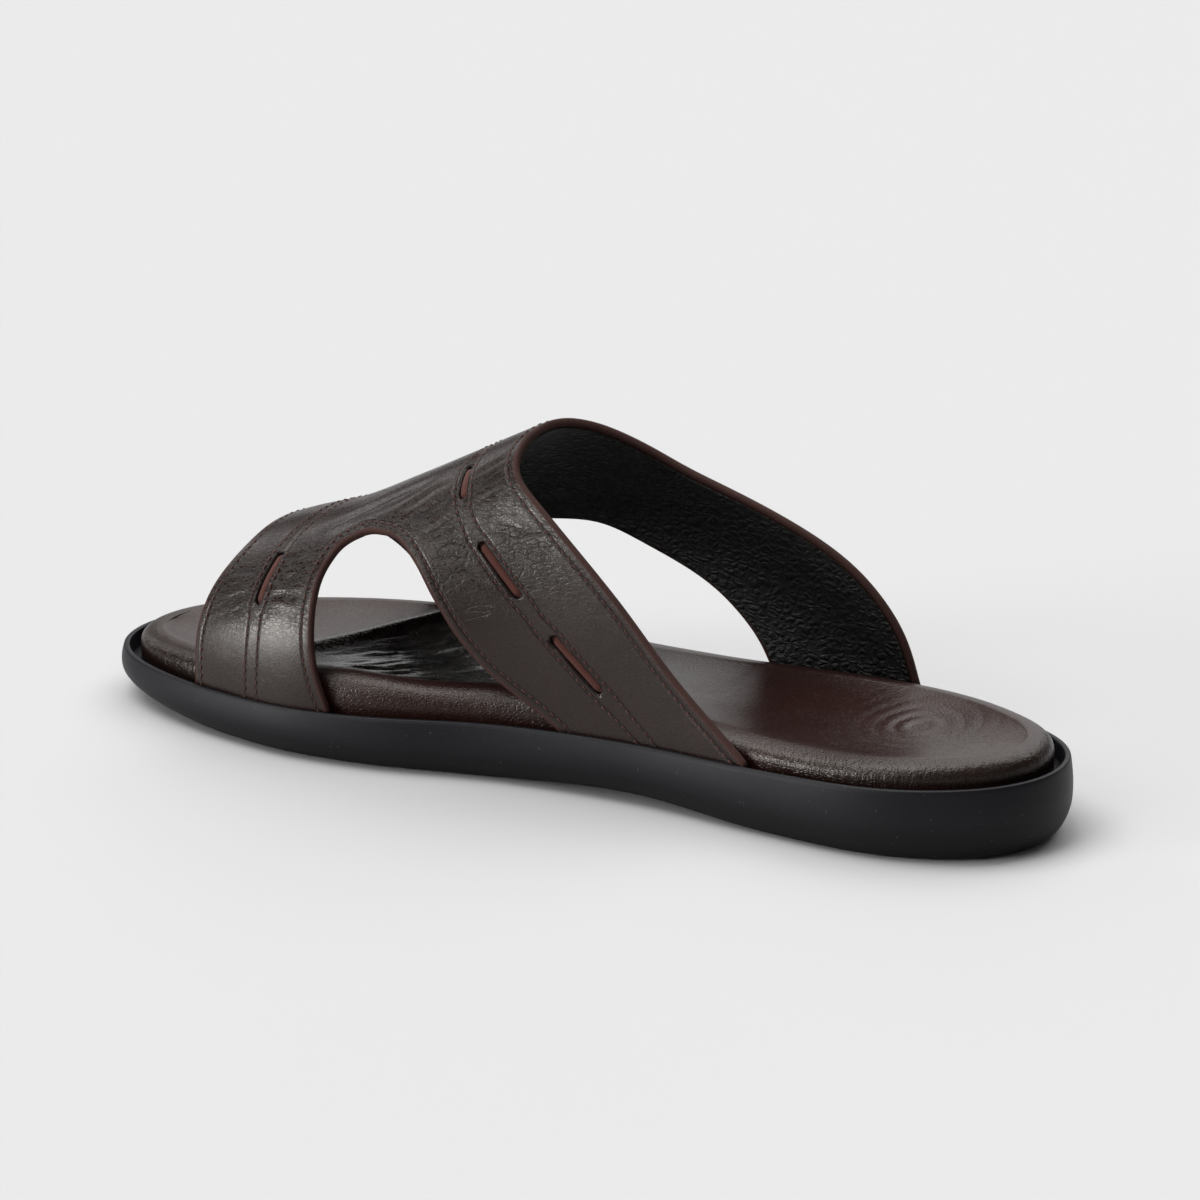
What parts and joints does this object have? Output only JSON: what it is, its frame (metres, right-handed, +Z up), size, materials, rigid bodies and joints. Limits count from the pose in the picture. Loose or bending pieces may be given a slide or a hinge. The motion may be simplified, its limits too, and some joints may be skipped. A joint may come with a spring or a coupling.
{
  "type": "slide sandal",
  "caption": "Open slide sandal for the right foot: crossing leather straps joined over the instep, with a side opening on each side, a moulded leather footbed and a black rubber cup sole.",
  "frame": {"origin": "on the floor, under the middle of the sole's box", "axes": "+Z up, +Y towards the toe, +X towards the outer side of the right foot"},
  "size_m": [0.101, 0.2918, 0.0942],
  "materials": {
    "outsole_rubber": "satin, almost black, slightly blue",
    "footbed_leather": "smooth, polished, very dark brown with a red tint",
    "strap_leather": "milled grain, dark brown, low sheen",
    "inlay_suede": "matt rust brown suede"
  },
  "bodies": {
    "root": {"outsole": "outsole_rubber", "footbed": "footbed_leather", "upper": "strap_leather", "inlay_front_inner": "inlay_suede", "inlay_front_outer": "inlay_suede", "inlay_instep_inner_1": "inlay_suede", "inlay_instep_inner_2": "inlay_suede", "inlay_instep_inner_3": "inlay_suede", "inlay_instep_outer_1": "inlay_suede", "inlay_instep_outer_2": "inlay_suede", "inlay_instep_outer_3": "inlay_suede"}
  },
  "joints": []
}
